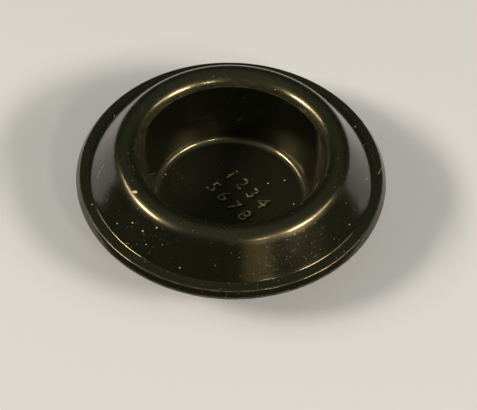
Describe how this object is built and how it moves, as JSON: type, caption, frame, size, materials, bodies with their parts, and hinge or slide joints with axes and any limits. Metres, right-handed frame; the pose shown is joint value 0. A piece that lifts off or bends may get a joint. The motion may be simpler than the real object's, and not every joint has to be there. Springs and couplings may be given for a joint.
{
  "type": "hole plug",
  "caption": "Round black plastic hole plug: open drafted cup with a rounded crest, a conical skirt with a thin rim, and a groove and snap bead for a panel hole.",
  "frame": {"origin": "centre of the cup's flat bottom, which is the lowest face and the one it rests on", "axes": "+Z along the plug's axis, out of the mouth of the cup; X and Y are free, because the form is round"},
  "size_m": [0.032, 0.032, 0.0089],
  "materials": {
    "black_plastic": "moulded gloss, lightly scuffed and dusty"
  },
  "bodies": {
    "root": {"plug": "black_plastic"}
  },
  "joints": []
}
